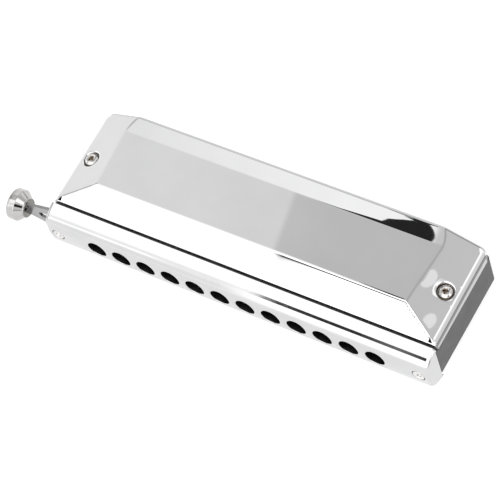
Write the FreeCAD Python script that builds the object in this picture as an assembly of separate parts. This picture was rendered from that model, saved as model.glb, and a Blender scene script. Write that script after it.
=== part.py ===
import FreeCAD, Part
import math
import os

# Chromatic harmonica with twelve mouth holes and a sprung slide, in millimetres.
# X runs along the instrument with the slide's knob at -X, the mouthpiece faces -Y and +Z is up.
# Everything is drawn about the middle plane of the comb, and lifted as it is written out,
# so that the flat of the lower cover lies in z = 0.

vector = FreeCAD.Vector
inward = vector(0, 1, 0)

# General sizes
overrun = 2.0
sliding_gap = 0.05
thread_gap = 0.03
arc_room_share = 0.96

# Mouth holes and air windows
hole_count = 12
hole_pitch = 9.6
hole_radius = 3.6
window_width = 4.0
window_height = 2.7
slide_travel = hole_pitch / 2
row_half_length = hole_count * hole_pitch / 2

# Covers
body_end = 14.7
front_plane = -20.05
cover_gap = 1.45
lip_height = 8.9
front_slope_depth = 8.4
plateau_depth = 22.1
plateau_height = 14.25
flare_depth = 6.5
flare_rise = 1.25
seam_height = 6.34
cover_sheet = 0.5
end_panel_length = 14.0
end_rim_rise = 0.65
plateau_bend = 0.9
lip_bend = 0.6
rim_bend = 1.3
flare_bend = 20.0
roll_bend = 0.9
front_corner = 0.8
rear_corner = 2.8
sound_opening_end = 2.4
sound_opening_corner = 4.0
rear_lip = 1.7
relief_from_end = 1.5
relief_from_front = 0.3
relief_width = 1.5
relief_depth = 1.5

body_half_length = row_half_length + body_end
ridge_half_length = body_half_length - end_panel_length
sound_opening_half_length = row_half_length + sound_opening_end
cover_front = front_plane + cover_gap
plateau_front = cover_front + front_slope_depth
plateau_rear = plateau_front + plateau_depth
cover_rear = plateau_rear + flare_depth
flare_height = plateau_height + flare_rise
end_panel_tilt = end_rim_rise / plateau_depth
end_panel_drop = plateau_height - lip_height - end_panel_tilt * front_slope_depth

# Cover screws, each in a stamped cup
cover_screw_inset = 5.4
cover_screw_y = -1.1
cup_radius = 2.9
cup_floor = 10.2
cover_screw_head_radius = 2.25
cover_screw_head = 1.5
cover_screw_radius = 1.0
cover_screw_depth = 5.0

cover_screw_x = body_half_length - cover_screw_inset

# Mouthpiece
mouthpiece_overhang = 0.25
mouthpiece_half_height = 8.8
mouthpiece_depth = 6.4
mouthpiece_lean = 0.9
mouthpiece_round = 5.2
mouthpiece_nose_round = 30.0
mouthpiece_back_edge = 0.35
mouthpiece_end_round = 1.0
mouthpiece_end_wall = 2.15
mouthpiece_screw_inset = 3.9
mouthpiece_screw_radius = 1.0
mouthpiece_screw_head_radius = 2.2
mouthpiece_screw_head = 1.2
mouthpiece_screw_sunk = 0.25
mouthpiece_screw_depth = 8.0
head_gap = 0.15

mouthpiece_front = front_plane - mouthpiece_depth
mouthpiece_half_length = body_half_length + mouthpiece_overhang
mouthpiece_screw_x = body_half_length - mouthpiece_screw_inset
slide_room_end = mouthpiece_half_length - mouthpiece_end_wall

# Slide and the parts that guide it, stacked from the mouth side to the comb
cage_sheet = 0.4
slide_thickness = 1.0
back_plate_thickness = 0.5
slide_half_height = 7.0
cage_inset = 0.3
slide_end_room = 5.4
shoulder_inset = 0.7
tongue_half_height = 6.2
tongue_reach = 11.4
tongue_end_half_height = 3.0
shank_half_height = 2.2
shank_length = 3.9
screw_slot_reach = 10.7
bumper_wall = 0.5

back_plate_front = front_plane - back_plate_thickness
slide_back = back_plate_front - sliding_gap
slide_front = slide_back - slide_thickness
cage_back = slide_front - sliding_gap
cage_front = cage_back - cage_sheet
slide_middle = (slide_front + slide_back) / 2
leg_inner = slide_half_height + sliding_gap
leg_outer = leg_inner + cage_sheet
bumper_radius = mouthpiece_screw_radius + thread_gap + bumper_wall
slot_half_height = bumper_radius + sliding_gap
cage_left = cage_inset - body_half_length
slide_right = slide_room_end - slide_end_room
shoulder_x = shoulder_inset - body_half_length
tongue_end_x = -body_half_length - tongue_reach
screw_slot_left = -mouthpiece_screw_x - screw_slot_reach

# Knob, turned about the slide's own line and staked on the slide's shank
knob_radius = 5.5
knob_rim = 3.0
knob_cone = 2.4
knob_hub = 0.5
knob_hub_radius = 3.4
stake_radius = 0.65
stake_depth = 1.0
stake_wall = 0.2
stake_height = 1.4

# Comb
comb_setback = 0.3
comb_corner = 1.5
comb_web = 1.2
front_rail = 2.6
chamber_wall = 1.6
window_ease = 0.2
boss_wall = 1.9
pilot_spare = 0.6

# Reed plates, tucked under a rail of the comb at the rear and held by the covers' walls in front
plate_thickness = 1.0
plate_end = 2.4
plate_held = 0.4
plate_rear = 13.5
plate_gap = 0.05
rail_reach = 0.9
rail_depth = 2.0
rail_height = 0.9

plate_half_length = row_half_length + plate_end
plate_front = cover_front + cover_sheet - plate_held

# Reeds and valves, from the short high reeds beside the knob to the long low ones
longest_reed = 22.0
shortest_reed = 11.0
reed_curve_share = 0.9
reed_width = 2.2
reed_gap = 0.06
reed_offset = 2.1
reed_pad = 3.0
reed_pad_thickness = 0.5
reed_thickness = 0.25
reed_taper = 0.4
pad_from_rail = 0.25
chamber_end_room = 0.3
valve_width = 3.2
valve_thickness = 0.2
valve_pad = 2.6

# Hairpin spring of flat strip, laid in a pocket at the knob's end of the comb
strip_thickness = 0.4
strip_height = 1.2
strip_room = 0.3
spring_height = 4.9
hook_inset = 6.4
hook_end_inset = 0.1
hook_gap = 0.1
hairpin_radius = 2.05
hairpin_turn_y = -8.5

hook_x = hook_inset - body_half_length
anchor_x = hook_x - 2 * hairpin_radius
pocket_front = front_plane + front_rail


# Basic shapes

def block(low, high):
    """A box between two opposite corners."""
    size = high.sub(low)
    return Part.makeBox(size.x, size.y, size.z, low)


def rod(radius, start, end):
    """A round bar from one point to another."""
    run = end.sub(start)
    return Part.makeCylinder(radius, run.Length, start, run)


def on_side(y, z):
    """A point of an outline that is seen from the end of the instrument."""
    return vector(0, y, z)


def on_front(x, z):
    """A point of an outline that is seen from the mouth side."""
    return vector(x, 0, z)


def on_plan(x, y):
    """A point of an outline that is seen from above."""
    return vector(x, y, 0)


def mirrored(shape):
    """The same shape below the middle plane."""
    return shape.mirror(vector(0, 0, 0), vector(0, 0, 1))


def both_sides(shapes):
    """The shapes and their mirror images below the middle plane."""
    return shapes + [mirrored(shape) for shape in shapes]


def bent_wire(corners, radii):
    """A closed outline that turns each of its corners on that corner's radius."""
    count = len(corners)
    arms = []
    reaches = []
    for index, corner in enumerate(corners):
        before = corners[index - 1].sub(corner)
        after = corners[(index + 1) % count].sub(corner)
        half_turn = (math.pi - before.getAngle(after)) / 2
        arms.append((before.normalize(), after.normalize(), half_turn))
        reaches.append(radii[index] * math.tan(half_turn))
    for index, corner in enumerate(corners):
        following = (index + 1) % count
        room = corner.distanceToPoint(corners[following]) * arc_room_share
        crowding = (reaches[index] + reaches[following]) / room
        if crowding > 1:
            reaches[index] /= crowding
            reaches[following] /= crowding
    starts = []
    ends = []
    arcs = []
    for corner, (before, after, half_turn), reach in zip(corners, arms, reaches):
        start = corner + before * reach
        end = corner + after * reach
        starts.append(start)
        ends.append(end)
        if reach == 0:
            arcs.append(None)
            continue
        radius = reach / math.tan(half_turn)
        inward = (before + after).normalize()
        middle = corner + inward * (radius / math.cos(half_turn) - radius)
        arcs.append(Part.Arc(start, middle, end).toShape())
    edges = []
    for index in range(count):
        if arcs[index]:
            edges.append(arcs[index])
        edges.append(Part.makeLine(ends[index], starts[(index + 1) % count]))
    return Part.Wire(edges)


def bent_prism(corners, radii, start, end, place):
    """A bent outline carried straight from start to end, which are vectors."""
    wire = bent_wire([place(*corner) for corner in corners], radii)
    wire.translate(start)
    return Part.Face(wire).extrude(end.sub(start))


def flat_prism(points, run):
    """A flat polygon carried along run."""
    return Part.Face(Part.makePolygon(points + points[:1])).extrude(run)


def inset(corners, radii, wall):
    """An anticlockwise outline drawn a wall's thickness further in, with its bends to match."""
    count = len(corners)
    inner_corners = []
    inner_radii = []
    for index, (across, up) in enumerate(corners):
        before = vector(across, up, 0).sub(vector(*corners[index - 1], 0)).normalize()
        after = vector(*corners[(index + 1) % count], 0).sub(vector(across, up, 0)).normalize()
        normal_before = vector(-before.y, before.x, 0)
        normal_after = vector(-after.y, after.x, 0)
        step = (normal_before + normal_after) * (wall / (1 + normal_before.dot(normal_after)))
        inner_corners.append((across + step.x, up + step.y))
        turns_inward = before.cross(after).z < 0
        radius = radii[index]
        inner_radii.append(radius + wall if turns_inward else max(radius - wall, 0))
    return inner_corners, inner_radii


# Covers

def cover_side_outline():
    """The cover seen from its end: front wall, slope, plateau and the flare at the rear."""
    base = seam_height - overrun
    corners = [
        (cover_front, base),
        (cover_rear, base),
        (cover_rear, flare_height),
        (plateau_rear, plateau_height),
        (plateau_front, plateau_height),
        (cover_front, lip_height),
    ]
    return corners, [0, 0, roll_bend, flare_bend, plateau_bend, lip_bend]


def cover_end_outline():
    """The cover seen from the mouth side: end walls under sloping end panels."""
    base = seam_height - overrun
    top = flare_height + overrun
    slope = end_panel_drop / (body_half_length - ridge_half_length)
    rim_height = plateau_height - end_panel_drop
    top_half_length = ridge_half_length - (top - plateau_height) / slope
    corners = [
        (-body_half_length, base),
        (body_half_length, base),
        (body_half_length, rim_height),
        (top_half_length, top),
        (-top_half_length, top),
        (-body_half_length, rim_height),
    ]
    return corners, [0, 0, rim_bend, 0, 0, rim_bend]


def cover_plan_outline():
    """The cover seen from above."""
    corners = [
        (-body_half_length, cover_front),
        (body_half_length, cover_front),
        (body_half_length, cover_rear),
        (-body_half_length, cover_rear),
    ]
    return corners, [front_corner, front_corner, rear_corner, rear_corner]


def cover_block(wall):
    """The cover as a filled block, drawn a wall's thickness inside its outer face."""
    side = inset(*cover_side_outline(), wall)
    reach = body_half_length + overrun
    seen_from_end = bent_prism(*side, vector(-reach, 0, 0), vector(reach, 0, 0), on_side)
    ends = inset(*cover_end_outline(), wall)
    start = vector(0, cover_front - overrun, 0)
    seen_from_mouth = bent_prism(*ends, start, vector(0, cover_rear + overrun, 0), on_front)
    tilt = math.degrees(math.atan(end_panel_tilt))
    seen_from_mouth.rotate(vector(0, plateau_front, plateau_height), vector(1, 0, 0), tilt)
    plan = inset(*cover_plan_outline(), wall)
    top = flare_height + overrun
    seen_from_above = bent_prism(*plan, vector(0, 0, 0), vector(0, 0, top), on_plan)
    return seen_from_end.common(seen_from_mouth).common(seen_from_above)


def cover_screw_places():
    """The x of the two screws that hold each cover."""
    return (-cover_screw_x, cover_screw_x)


def sound_opening():
    """The cut that leaves the rear of a cover open under its turned-down lip."""
    top = flare_height - rear_lip
    base = seam_height - overrun
    corners = [
        (-sound_opening_half_length, base),
        (sound_opening_half_length, base),
        (sound_opening_half_length, top),
        (-sound_opening_half_length, top),
    ]
    radii = [0, 0, sound_opening_corner, sound_opening_corner]
    start = vector(0, cover_rear - cover_sheet - sliding_gap, 0)
    end = vector(0, cover_rear + overrun, 0)
    return bent_prism(corners, radii, start, end, on_front)


def corner_relief(side):
    """The small gap in the sheet where the front slope, the end panel and the rim meet."""
    outer = side * (body_half_length - relief_from_end)
    inner = side * (body_half_length - relief_from_end - relief_width)
    near = cover_front + relief_from_front
    far = near + relief_depth
    corners = [vector(outer, near, 0), vector(inner, near, 0), vector(inner, far, 0)]
    return flat_prism(corners, vector(0, 0, flare_height))


def upper_cover():
    """One stamped sheet: plateau, slopes, end walls, screw cups and the open rear."""
    outer = cover_block(0)
    shell = outer.cut(cover_block(cover_sheet))
    top = flare_height + overrun
    cups = []
    cuts = [sound_opening(), corner_relief(-1), corner_relief(1)]
    for x in cover_screw_places():
        cup_top = vector(x, cover_screw_y, top)
        cup_base = vector(x, cover_screw_y, cup_floor - cover_sheet)
        cups.append(rod(cup_radius + cover_sheet, cup_base, cup_top).common(outer))
        cuts.append(rod(cup_radius, vector(x, cover_screw_y, cup_floor), cup_top))
        cuts.append(rod(cover_screw_radius + head_gap, vector(x, cover_screw_y, 0), cup_top))
    reach = body_half_length + overrun
    below_corner = vector(-reach, cover_front - overrun, 0)
    cuts.append(block(below_corner, vector(reach, cover_rear + overrun, seam_height)))
    return shell.fuse(cups).cut(cuts).removeSplitter()


# Screws

def screw(head_seat, direction, head_radius, head_height, radius, depth):
    """A screw whose head sits on head_seat and whose shank runs along direction."""
    head = rod(head_radius, head_seat, head_seat - direction * head_height)
    shank = rod(radius, head_seat, head_seat + direction * depth)
    return head.fuse(shank)


def cover_screws():
    """Two screws in each cover, standing in their cups."""
    depth = cup_floor - seam_height + cover_screw_depth
    screws = []
    for x in cover_screw_places():
        seat = vector(x, cover_screw_y, cup_floor)
        screws.append(screw(seat, vector(0, 0, -1), cover_screw_head_radius, cover_screw_head,
                            cover_screw_radius, depth))
    return both_sides(screws)


def countersunk(x, gap, end_y):
    """A countersunk mouthpiece screw at x with its shank up to end_y, or with a gap, room for it."""
    top = vector(x, mouthpiece_front + mouthpiece_screw_sunk, 0)
    head_radius = mouthpiece_screw_head_radius + gap
    radius = mouthpiece_screw_radius + gap
    head = Part.makeCone(head_radius, radius, mouthpiece_screw_head, top, inward)
    return head.fuse(rod(radius, top, vector(x, end_y, 0))).removeSplitter()


def mouthpiece_screws():
    """Two screws that hold the mouthpiece and the slide's guides to the comb."""
    end = front_plane + mouthpiece_screw_depth
    return [countersunk(x, 0, end) for x in (-mouthpiece_screw_x, mouthpiece_screw_x)]


# Mouthpiece and slide

def hole_x(index):
    """The place of a mouth hole, counted from the knob."""
    return (index - (hole_count - 1) / 2) * hole_pitch


def window(x, start_y, end_y, ease=0):
    """The air window above the comb's middle web at x."""
    base = comb_web / 2
    low = vector(x - window_width / 2 - ease, start_y, base)
    high = vector(x + window_width / 2 + ease, end_y, base + window_height + ease)
    return block(low, high)


def mouthpiece():
    """A D-shaped bar with twelve mouth holes and a recess for the slide in its back."""
    shoulder = mouthpiece_front + mouthpiece_lean
    side_corners = [
        (mouthpiece_front, 0),
        (shoulder, -mouthpiece_half_height),
        (front_plane, -mouthpiece_half_height),
        (front_plane, mouthpiece_half_height),
        (shoulder, mouthpiece_half_height),
    ]
    side_radii = [
        mouthpiece_nose_round,
        mouthpiece_round,
        mouthpiece_back_edge,
        mouthpiece_back_edge,
        mouthpiece_round,
    ]
    reach = mouthpiece_half_length + overrun
    bar = bent_prism(side_corners, side_radii, vector(-reach, 0, 0), vector(reach, 0, 0), on_side)
    plan_corners = [
        (-mouthpiece_half_length, mouthpiece_front),
        (mouthpiece_half_length, mouthpiece_front),
        (mouthpiece_half_length, front_plane),
        (-mouthpiece_half_length, front_plane),
    ]
    plan_radii = [mouthpiece_end_round] * len(plan_corners)
    rise = mouthpiece_half_height + overrun
    bottom = vector(0, 0, -rise)
    bar = bar.common(bent_prism(plan_corners, plan_radii, bottom, vector(0, 0, rise), on_plan))
    room = leg_outer + sliding_gap
    recess_corner = vector(-reach, cage_front, -room)
    cuts = [block(recess_corner, vector(slide_room_end, front_plane + overrun, room))]
    for index in range(hole_count):
        mouth = vector(hole_x(index), mouthpiece_front, 0)
        cuts.append(rod(hole_radius, mouth, mouth + inward * mouthpiece_depth))
    head_room = mouthpiece_screw_head_radius + head_gap
    for x in (-mouthpiece_screw_x, mouthpiece_screw_x):
        cuts.append(countersunk(x, head_gap, front_plane + overrun))
        mouth = vector(x, mouthpiece_front, 0)
        cuts.append(rod(head_room, mouth, mouth + inward * mouthpiece_screw_sunk))
    return bar.cut(cuts).removeSplitter()


def screw_slots(start_y, end_y):
    """The slots, open to the ends of the slide's guides, that straddle the mouthpiece screws."""
    half_slot = mouthpiece_screw_radius + thread_gap
    inner = mouthpiece_screw_x - half_slot
    outer = slide_room_end + overrun
    slots = []
    for left, right in ((-outer, -inner), (inner, outer)):
        slots.append(block(vector(left, start_y, -half_slot), vector(right, end_y, half_slot)))
    return slots


def slide_cage():
    """The folded sheet in front of the slide, whose two legs guide it above and below."""
    low = vector(cage_left, cage_front, -leg_outer)
    high = vector(slide_room_end - sliding_gap, back_plate_front, leg_outer)
    folded = block(low, high)
    inside = block(
        vector(cage_left - overrun, cage_back, -leg_inner),
        vector(slide_room_end + overrun, front_plane, leg_inner),
    )
    cuts = [inside]
    start = cage_front - overrun
    for index in range(hole_count):
        cuts += both_sides([window(hole_x(index), start, slide_middle)])
    cuts += screw_slots(start, slide_middle)
    return folded.cut(cuts)


def slide_back_plate():
    """The flat plate between the slide and the comb, on which the cage's legs stand."""
    low = vector(cage_left, back_plate_front, -leg_outer)
    high = vector(slide_room_end - sliding_gap, front_plane, leg_outer)
    plate = block(low, high)
    start = back_plate_front - overrun
    end = front_plane + overrun
    cuts = []
    for index in range(hole_count):
        cuts += both_sides([window(hole_x(index), start, end)])
    cuts += screw_slots(start, end)
    cuts.append(spring_leg_slot(start, end))
    return plate.cut(cuts)


def rounded_slot(left, right, start_y, end_y):
    """A slot along X with round ends, as tall as a bumper and its running gap."""
    corners = [
        (left, -slot_half_height),
        (right, -slot_half_height),
        (right, slot_half_height),
        (left, slot_half_height),
    ]
    radii = [slot_half_height] * len(corners)
    return bent_prism(corners, radii, vector(0, start_y, 0), vector(0, end_y, 0), on_front)


def slide():
    """The flat slide: two staggered rows of windows, screw slots and the tongue for the knob."""
    shank_end_x = tongue_end_x - shank_length
    upper_edge = [
        (slide_right, slide_half_height),
        (shoulder_x, slide_half_height),
        (shoulder_x, tongue_half_height),
        (tongue_end_x, tongue_end_half_height),
        (tongue_end_x, shank_half_height),
        (shank_end_x, shank_half_height),
    ]
    lower_edge = [(x, -z) for x, z in reversed(upper_edge)]
    outline = [on_front(x, z) + vector(0, slide_front, 0) for x, z in upper_edge + lower_edge]
    plate = flat_prism(outline, vector(0, slide_thickness, 0))
    start = slide_front - overrun
    end = slide_back + overrun
    cuts = []
    for index in range(hole_count):
        cuts.append(window(hole_x(index), start, end))
        cuts.append(mirrored(window(hole_x(index) - slide_travel, start, end)))
    cuts.append(rounded_slot(screw_slot_left, slot_half_height - mouthpiece_screw_x, start, end))
    notch_left = mouthpiece_screw_x - slide_travel - slot_half_height
    cuts.append(rounded_slot(notch_left, slide_right + overrun, start, end))
    side = strip_thickness / 2 + hook_gap
    half_height = strip_height / 2 + hook_gap
    low = vector(hook_x - side, start, spring_height - half_height)
    cuts.append(block(low, vector(hook_x + side, end, spring_height + half_height)))
    return plate.cut(cuts)


def slide_bumpers():
    """Soft sleeves on the mouthpiece screws that stop the slide at each end of its travel."""
    sleeves = []
    start = cage_back + thread_gap
    end = back_plate_front - thread_gap
    for x in (-mouthpiece_screw_x, mouthpiece_screw_x):
        sleeve = rod(bumper_radius, vector(x, start, 0), vector(x, end, 0))
        bore = rod(mouthpiece_screw_radius + thread_gap, vector(x, start, 0), vector(x, end, 0))
        sleeves.append(sleeve.cut(bore))
    return sleeves


def slide_knob():
    """The turned knob: a flat button, a cone and a short hub that takes the slide's shank."""
    hub_start = tongue_end_x - knob_hub
    cone_start = hub_start - knob_cone
    face = cone_start - knob_rim
    outline = [
        (face, 0),
        (face, knob_radius),
        (cone_start, knob_radius),
        (hub_start, knob_hub_radius),
        (tongue_end_x, knob_hub_radius),
        (tongue_end_x, 0),
    ]
    points = [vector(x, slide_middle, radius) for x, radius in outline]
    turned = Part.Face(Part.makePolygon(points + points[:1]))
    knob = turned.revolve(vector(0, slide_middle, 0), vector(1, 0, 0), 360)
    socket_front = slide_front - thread_gap
    socket = block(
        vector(tongue_end_x - shank_length - sliding_gap, socket_front, -shank_half_height - thread_gap),
        vector(tongue_end_x + overrun, slide_back + thread_gap, shank_half_height + thread_gap),
    )
    stake_place = vector(tongue_end_x, socket_front - stake_wall - stake_radius, stake_height)
    stake = rod(stake_radius, stake_place, stake_place - vector(stake_depth, 0, 0))
    return knob.cut([socket, stake])


# Comb

def reed_length(index):
    """The free length of a hole's reeds, counted from the knob."""
    share = (index / (hole_count - 1)) ** reed_curve_share
    return shortest_reed + (longest_reed - shortest_reed) * share


def slot_front():
    """Where every reed's slot starts, behind the row of front pads."""
    return front_plane + front_rail + pad_from_rail + reed_pad


def chamber(index):
    """The air chamber of one hole above the middle web."""
    half_width = (hole_pitch - chamber_wall) / 2
    end = slot_front() + reed_length(index) + reed_pad + chamber_end_room
    low = vector(hole_x(index) - half_width, front_plane + front_rail, comb_web / 2)
    return block(low, vector(hole_x(index) + half_width, end, seam_height))


def plate_seat():
    """The recess that a reed plate lies in, with the groove for its rear edge."""
    low = vector(-plate_half_length, plate_front - plate_gap, seam_height - plate_thickness)
    recess = block(low, vector(plate_half_length, plate_rear - rail_reach, seam_height + overrun))
    return recess.fuse(block(low, vector(plate_half_length, plate_rear, seam_height + plate_gap)))


def plate_rail():
    """The rail over the rear edge of a reed plate."""
    front = plate_rear - rail_reach
    low = vector(-plate_half_length, front, 0)
    return block(low, vector(plate_half_length, front + rail_depth, seam_height + rail_height))


def spring_leg_slot(start_y, end_y):
    """The slot that the spring's moving leg travels in."""
    side = strip_thickness / 2 + hook_gap
    half_height = strip_height / 2 + strip_room
    low = vector(hook_x - side, start_y, spring_height - half_height)
    return block(low, vector(hook_x + slide_travel + side, end_y, spring_height + half_height))


def spring_pocket():
    """The open pocket for the hairpin, with its slot to the slide."""
    half_strip = strip_thickness / 2
    floor = spring_height - strip_height / 2 - strip_room
    low = vector(anchor_x - half_strip - sliding_gap, pocket_front, floor)
    right = hook_x + slide_travel + half_strip + strip_room
    rear = hairpin_turn_y + hairpin_radius + half_strip + strip_room
    pocket = block(low, vector(right, rear, seam_height + overrun))
    return pocket.fuse(spring_leg_slot(front_plane - overrun, pocket_front + overrun))


def comb():
    """The plastic comb: twelve chambers above and below its web, and bosses for the covers."""
    comb_rear = cover_rear - comb_setback
    corners = [
        (-body_half_length, front_plane),
        (body_half_length, front_plane),
        (body_half_length, comb_rear),
        (-body_half_length, comb_rear),
    ]
    radii = [front_corner, front_corner, comb_corner, comb_corner]
    body = bent_prism(corners, radii, vector(0, 0, -seam_height), vector(0, 0, seam_height), on_plan)
    boss_top = cup_floor - cover_sheet
    boss_half_width = cover_screw_radius + boss_wall
    raised = [plate_rail()]
    upper_cuts = [plate_seat()]
    for x in cover_screw_places():
        foot = vector(x, cover_screw_y, 0)
        top = vector(x, cover_screw_y, boss_top)
        side = vector(boss_half_width, boss_half_width, 0)
        raised.append(block(foot - side, top + side))
        upper_cuts.append(rod(cover_screw_radius + thread_gap, foot, top))
    body = body.fuse(both_sides(raised))
    rail_start = front_plane - overrun
    rail_end = front_plane + front_rail + window_ease
    for index in range(hole_count):
        upper_cuts.append(chamber(index))
        upper_cuts.append(window(hole_x(index), rail_start, rail_end, window_ease))
    cuts = both_sides(upper_cuts)
    cuts.append(spring_pocket())
    pilot_depth = mouthpiece_screw_depth + pilot_spare
    for x in (-mouthpiece_screw_x, mouthpiece_screw_x):
        mouth = vector(x, front_plane, 0)
        cuts.append(rod(mouthpiece_screw_radius + thread_gap, mouth, mouth + inward * pilot_depth))
    return body.cut(cuts).removeSplitter()


# Reed plates, reeds and valves above the web

def slot_x(index, drawn):
    """Each chamber has its draw slot on one side and its blow slot on the other."""
    return hole_x(index) + (-reed_offset if drawn else reed_offset)


def upper_reed_plate():
    """The brass plate with two reed slots for each hole."""
    half_length = plate_half_length - plate_gap
    plate = block(
        vector(-half_length, plate_front, seam_height - plate_thickness),
        vector(half_length, plate_rear - plate_gap, seam_height),
    )
    under = seam_height - plate_thickness - overrun
    over = seam_height + overrun
    half_slot = reed_width / 2 + reed_gap
    cuts = []
    for index in range(hole_count):
        for drawn in (True, False):
            x = slot_x(index, drawn)
            start = slot_front() - (0 if drawn else reed_gap)
            end = slot_front() + reed_length(index) + (reed_gap if drawn else 0)
            cuts.append(block(vector(x - half_slot, start, under), vector(x + half_slot, end, over)))
    return plate.cut(cuts)


def reed(index, drawn):
    """One reed, welded to the plate by its thick pad, with a thin tongue over its slot."""
    length = reed_length(index)
    surface = seam_height if drawn else seam_height - plate_thickness
    outward = 1 if drawn else -1
    root = slot_front() if drawn else slot_front() + length
    along = 1 if drawn else -1
    steps = [
        (-reed_pad, 0),
        (length, 0),
        (length, reed_thickness),
        (reed_taper, reed_thickness),
        (0, reed_pad_thickness),
        (-reed_pad, reed_pad_thickness),
    ]
    left = slot_x(index, drawn) - reed_width / 2
    points = [vector(left, root + along * run, surface + outward * rise) for run, rise in steps]
    return flat_prism(points, vector(reed_width, 0, 0))


def reeds(drawn):
    """Twelve reeds of the upper plate: draw reeds on its outer face, blow reeds in the chambers."""
    return [reed(index, drawn) for index in range(hole_count)]


def valve(index, drawn):
    """The plastic strip over a reed's slot, on the other face of the plate from the reed."""
    length = reed_length(index)
    x = slot_x(index, drawn)
    if drawn:
        base = seam_height - plate_thickness - valve_thickness
        start = slot_front() - valve_pad
        end = slot_front() + length
    else:
        base = seam_height
        start = slot_front()
        end = slot_front() + length + valve_pad
    low = vector(x - valve_width / 2, start, base)
    return block(low, vector(x + valve_width / 2, end, base + valve_thickness))


def valves(drawn):
    """Twelve valves of the upper plate."""
    return [valve(index, drawn) for index in range(hole_count)]


# Spring

def slide_spring():
    """A hairpin of flat strip: a leg against the comb, a half turn, and a leg into the slide."""
    half_strip = strip_thickness / 2
    foot_y = pocket_front + sliding_gap
    tip_y = slide_front + hook_end_inset
    crown_y = hairpin_turn_y + hairpin_radius
    corners = [
        (anchor_x - half_strip, foot_y),
        (anchor_x + half_strip, foot_y),
        (anchor_x + half_strip, crown_y - half_strip),
        (hook_x - half_strip, crown_y - half_strip),
        (hook_x - half_strip, tip_y),
        (hook_x + half_strip, tip_y),
        (hook_x + half_strip, crown_y + half_strip),
        (anchor_x - half_strip, crown_y + half_strip),
    ]
    inner_bend = hairpin_radius - half_strip
    outer_bend = hairpin_radius + half_strip
    radii = [0, 0, inner_bend, inner_bend, 0, 0, outer_bend, outer_bend]
    low = vector(0, 0, spring_height - strip_height / 2)
    high = vector(0, 0, spring_height + strip_height / 2)
    return bent_prism(corners, radii, low, high, on_plan)


# Writing the pieces

def write(name, solids):
    """Lift the solids so that the lower plateau lies in z = 0, and write them as one node."""
    if not isinstance(solids, list):
        solids = [solids]
    lifted = []
    for solid in solids:
        placed = solid.copy()
        placed.translate(vector(0, 0, plateau_height))
        lifted.append(placed)
    shape = lifted[0] if len(lifted) == 1 else Part.makeCompound(lifted)
    shape.exportStep("parts/" + name + ".step")
    print(name, "solids", len(shape.Solids), "valid", shape.isValid(), "volume", round(shape.Volume, 2))


def write_pair(name, shapes):
    """Write what lies above the web, and its mirror image below the web."""
    if not isinstance(shapes, list):
        shapes = [shapes]
    write("upper_" + name, shapes)
    write("lower_" + name, [mirrored(shape) for shape in shapes])


os.makedirs("parts", exist_ok=True)
write("comb", comb())
write_pair("reed_plate", upper_reed_plate())
write_pair("draw_reeds", reeds(True))
write_pair("blow_reeds", reeds(False))
write_pair("inner_valves", valves(True))
write_pair("outer_valves", valves(False))
write_pair("cover", upper_cover())
write("cover_screws", cover_screws())
write("mouthpiece", mouthpiece())
write("mouthpiece_screws", mouthpiece_screws())
write("slide_cage", slide_cage())
write("slide_back_plate", slide_back_plate())
write("slide_bumpers", slide_bumpers())
write("slide_spring", slide_spring())
write("slide", slide())
write("slide_knob", slide_knob())
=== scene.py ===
import math

import bmesh
import bpy
from mathutils import Matrix, Vector


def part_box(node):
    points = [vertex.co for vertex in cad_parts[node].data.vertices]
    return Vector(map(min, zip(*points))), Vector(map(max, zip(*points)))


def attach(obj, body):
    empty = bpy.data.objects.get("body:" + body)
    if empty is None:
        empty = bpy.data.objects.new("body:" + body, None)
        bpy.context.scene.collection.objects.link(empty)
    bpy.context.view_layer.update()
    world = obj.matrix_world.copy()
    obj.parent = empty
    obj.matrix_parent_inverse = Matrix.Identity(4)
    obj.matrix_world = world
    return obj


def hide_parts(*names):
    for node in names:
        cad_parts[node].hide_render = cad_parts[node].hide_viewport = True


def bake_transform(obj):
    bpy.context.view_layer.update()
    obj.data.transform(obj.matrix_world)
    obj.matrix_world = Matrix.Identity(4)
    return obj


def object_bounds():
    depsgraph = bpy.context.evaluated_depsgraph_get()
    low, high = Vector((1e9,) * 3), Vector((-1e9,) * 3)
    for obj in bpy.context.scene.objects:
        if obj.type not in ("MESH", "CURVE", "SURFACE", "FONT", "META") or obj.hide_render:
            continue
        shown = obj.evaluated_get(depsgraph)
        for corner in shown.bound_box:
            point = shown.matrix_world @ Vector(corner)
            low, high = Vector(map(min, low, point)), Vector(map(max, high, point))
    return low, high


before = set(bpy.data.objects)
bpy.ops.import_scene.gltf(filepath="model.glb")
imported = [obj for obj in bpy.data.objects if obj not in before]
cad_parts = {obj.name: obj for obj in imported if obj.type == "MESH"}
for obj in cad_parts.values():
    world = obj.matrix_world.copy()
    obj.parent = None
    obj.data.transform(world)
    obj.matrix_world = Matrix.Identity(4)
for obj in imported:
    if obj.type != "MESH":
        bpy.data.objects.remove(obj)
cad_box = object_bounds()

# Chromatic harmonica on a pale table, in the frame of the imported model: X runs along the
# instrument away from the knob, -Y is the mouth side and +Z is up. The pieces made here are
# drawn in millimetres about the comb's middle plane, and turned into metres as they are built.

mm = 0.001
middle_height = (cad_box[0].z + cad_box[1].z) / 2


def measured(node):
    """The lowest and highest corners of a CAD node, in millimetres about the comb's middle plane."""
    low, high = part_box(node)
    lift = Vector((0, 0, middle_height))
    return (Vector(low) - lift) / mm, (Vector(high) - lift) / mm


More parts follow.
